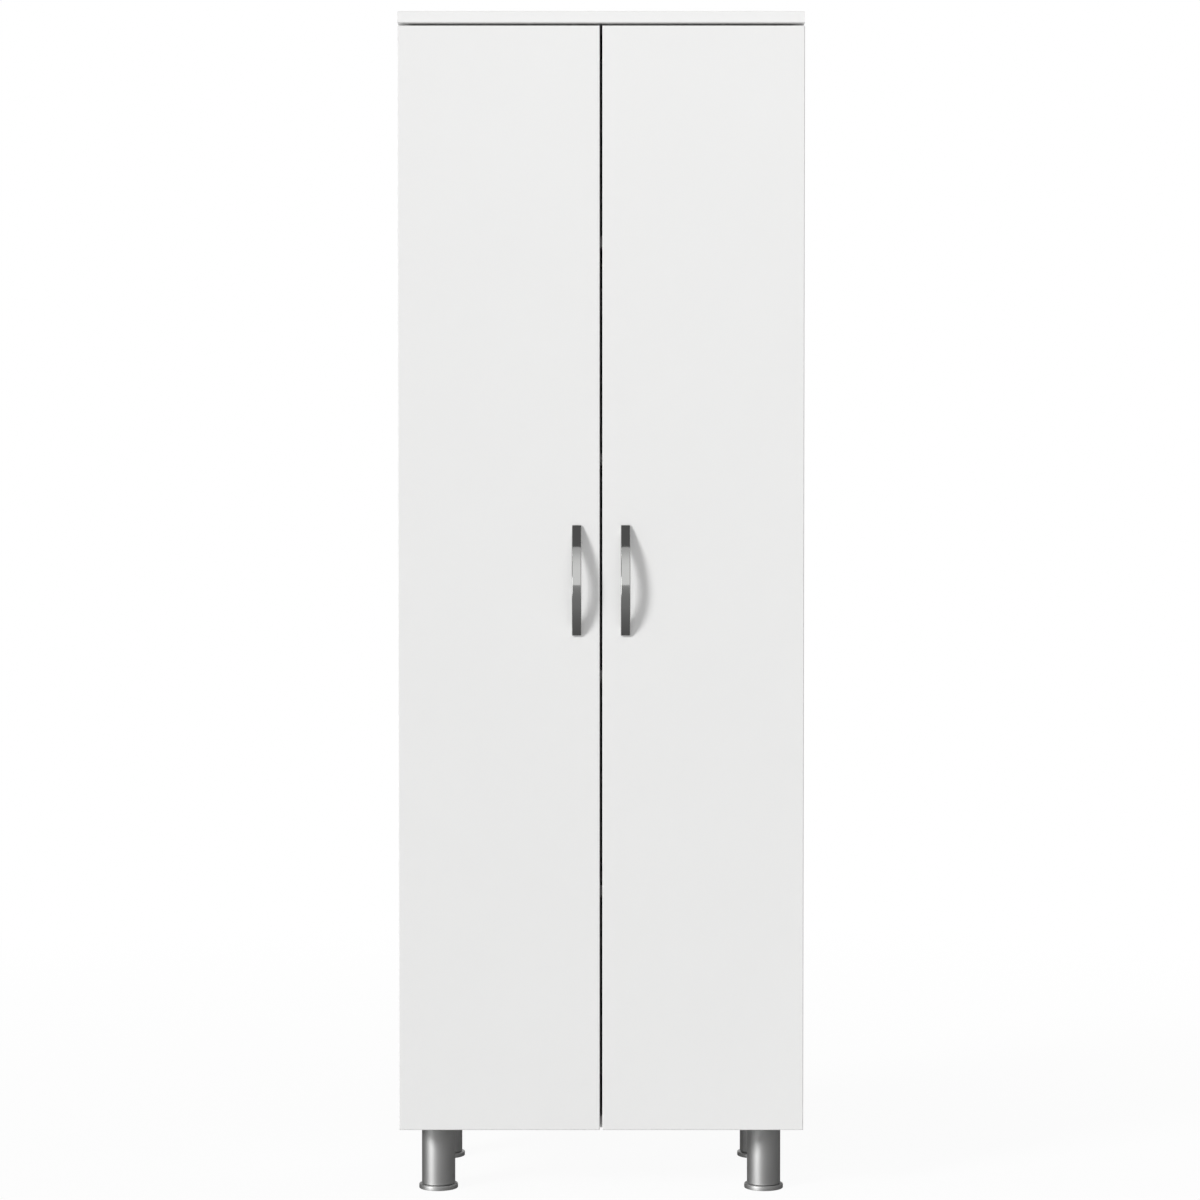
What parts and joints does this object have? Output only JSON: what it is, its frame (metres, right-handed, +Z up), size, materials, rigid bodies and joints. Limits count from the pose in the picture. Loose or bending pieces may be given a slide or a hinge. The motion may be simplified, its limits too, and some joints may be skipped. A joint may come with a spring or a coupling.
{
  "type": "pantry cabinet",
  "caption": "Tall narrow white pantry cabinet with two full-height overlay doors, upright chrome bow handles, inner shelves and round satin metal legs with levelling feet.",
  "frame": {"origin": "on the floor, in the middle of the width and of the overall depth with the handles", "axes": "+Z up; the doors face -Y; +X to the right of someone looking at the doors"},
  "size_m": [0.615, 0.399, 1.8],
  "materials": {
    "white_board": "white melamine facing, satin",
    "white_back": "thin white-faced fibreboard",
    "leg_tube": "satin steel tube",
    "foot_pad": "satin steel pad and stud",
    "handle_chrome": "bright chrome plate",
    "clear_bumper": "clear soft plastic",
    "hinge_steel": "nickel-plated pressed steel",
    "hinge_pin": "plain steel",
    "zinc_screw": "zinc-plated",
    "cam_zinc": "cast zinc, plain",
    "plate_zinc": "zinc-plated sheet",
    "bush_plastic": "black moulded plastic",
    "beech": "plain beech"
  },
  "bodies": {
    "case": {"left_side_panel": "white_board", "right_side_panel": "white_board", "top_panel": "white_board", "bottom_panel": "white_board", "back_panel": "white_back", "back_nails": "zinc_screw", "shelf_1": "white_board", "shelf_2": "white_board", "shelf_3": "white_board", "shelf_4": "white_board", "shelf_pins": "zinc_screw", "cam_locks": "cam_zinc", "cam_bolts": "zinc_screw", "dowels": "beech", "leg_plates": "plate_zinc", "leg_plate_screws": "zinc_screw", "leg_bushes": "bush_plastic", "leg_front_left": "leg_tube", "leg_front_right": "leg_tube", "leg_rear_left": "leg_tube", "leg_rear_right": "leg_tube", "left_hinge_plates": "hinge_steel", "right_hinge_plates": "hinge_steel", "left_hinge_plate_screws": "zinc_screw", "right_hinge_plate_screws": "zinc_screw", "left_hinge_arms": "hinge_steel", "right_hinge_arms": "hinge_steel", "left_hinge_arm_screws": "zinc_screw", "right_hinge_arm_screws": "zinc_screw", "left_hinge_arm_pins": "hinge_pin", "right_hinge_arm_pins": "hinge_pin"},
    "left_door_set": {"left_door": "white_board", "left_handle": "handle_chrome", "left_handle_screws": "zinc_screw", "left_door_bumper": "clear_bumper", "left_hinge_cups": "hinge_steel", "left_hinge_cup_screws": "zinc_screw", "left_hinge_cup_pins": "hinge_pin"},
    "left_outer_link_set": {"left_outer_links": "hinge_steel"},
    "left_inner_link_set": {"left_inner_links": "hinge_steel"},
    "right_door_set": {"right_door": "white_board", "right_handle": "handle_chrome", "right_handle_screws": "zinc_screw", "right_door_bumper": "clear_bumper", "right_hinge_cups": "hinge_steel", "right_hinge_cup_screws": "zinc_screw", "right_hinge_cup_pins": "hinge_pin"},
    "right_outer_link_set": {"right_outer_links": "hinge_steel"},
    "right_inner_link_set": {"right_inner_links": "hinge_steel"},
    "foot_front_left_set": {"foot_front_left": "foot_pad"},
    "foot_front_right_set": {"foot_front_right": "foot_pad"},
    "foot_rear_left_set": {"foot_rear_left": "foot_pad"},
    "foot_rear_right_set": {"foot_rear_right": "foot_pad"}
  },
  "joints": [
    {"name": "left_outer_link_turn", "type": "hinge", "parent": "case", "child": "left_outer_link_set", "pos_m": [-0.2638, -0.1325, 0.941], "axis": [0, 0, 1], "range_deg": [0, 41.8]},
    {"name": "left_door_swing", "type": "hinge", "parent": "left_outer_link_set", "child": "left_door_set", "pos_m": [-0.2959, -0.1569, 0.941], "axis": [0, 0, -1], "range_deg": [0, 136.8]},
    {"name": "left_inner_link_turn", "type": "hinge", "parent": "case", "child": "left_inner_link_set", "pos_m": [-0.2757, -0.1511, 0.941], "axis": [0, 0, 1], "range_deg": [0, 67.36]},
    {"name": "right_outer_link_turn", "type": "hinge", "parent": "case", "child": "right_outer_link_set", "pos_m": [0.2638, -0.1325, 0.941], "axis": [0, 0, -1], "range_deg": [0, 41.8]},
    {"name": "right_door_swing", "type": "hinge", "parent": "right_outer_link_set", "child": "right_door_set", "pos_m": [0.2959, -0.1569, 0.941], "axis": [0, 0, 1], "range_deg": [0, 136.8]},
    {"name": "right_inner_link_turn", "type": "hinge", "parent": "case", "child": "right_inner_link_set", "pos_m": [0.2757, -0.1511, 0.941], "axis": [0, 0, -1], "range_deg": [0, 67.36]},
    {"name": "foot_front_left_slide", "type": "slide", "parent": "case", "child": "foot_front_left_set", "axis": [0, 0, -1], "range_m": [0, 0.012]},
    {"name": "foot_front_right_slide", "type": "slide", "parent": "case", "child": "foot_front_right_set", "axis": [0, 0, -1], "range_m": [0, 0.012]},
    {"name": "foot_rear_left_slide", "type": "slide", "parent": "case", "child": "foot_rear_left_set", "axis": [0, 0, -1], "range_m": [0, 0.012]},
    {"name": "foot_rear_right_slide", "type": "slide", "parent": "case", "child": "foot_rear_right_set", "axis": [0, 0, -1], "range_m": [0, 0.012]}
  ],
  "couplings": [
    {"joint": "left_outer_link_turn", "follows": "left_door_swing", "ratio": 0.30556},
    {"joint": "left_inner_link_turn", "follows": "left_door_swing", "ratio": 0.49236},
    {"joint": "right_outer_link_turn", "follows": "right_door_swing", "ratio": 0.30556},
    {"joint": "right_inner_link_turn", "follows": "right_door_swing", "ratio": 0.49236}
  ]
}
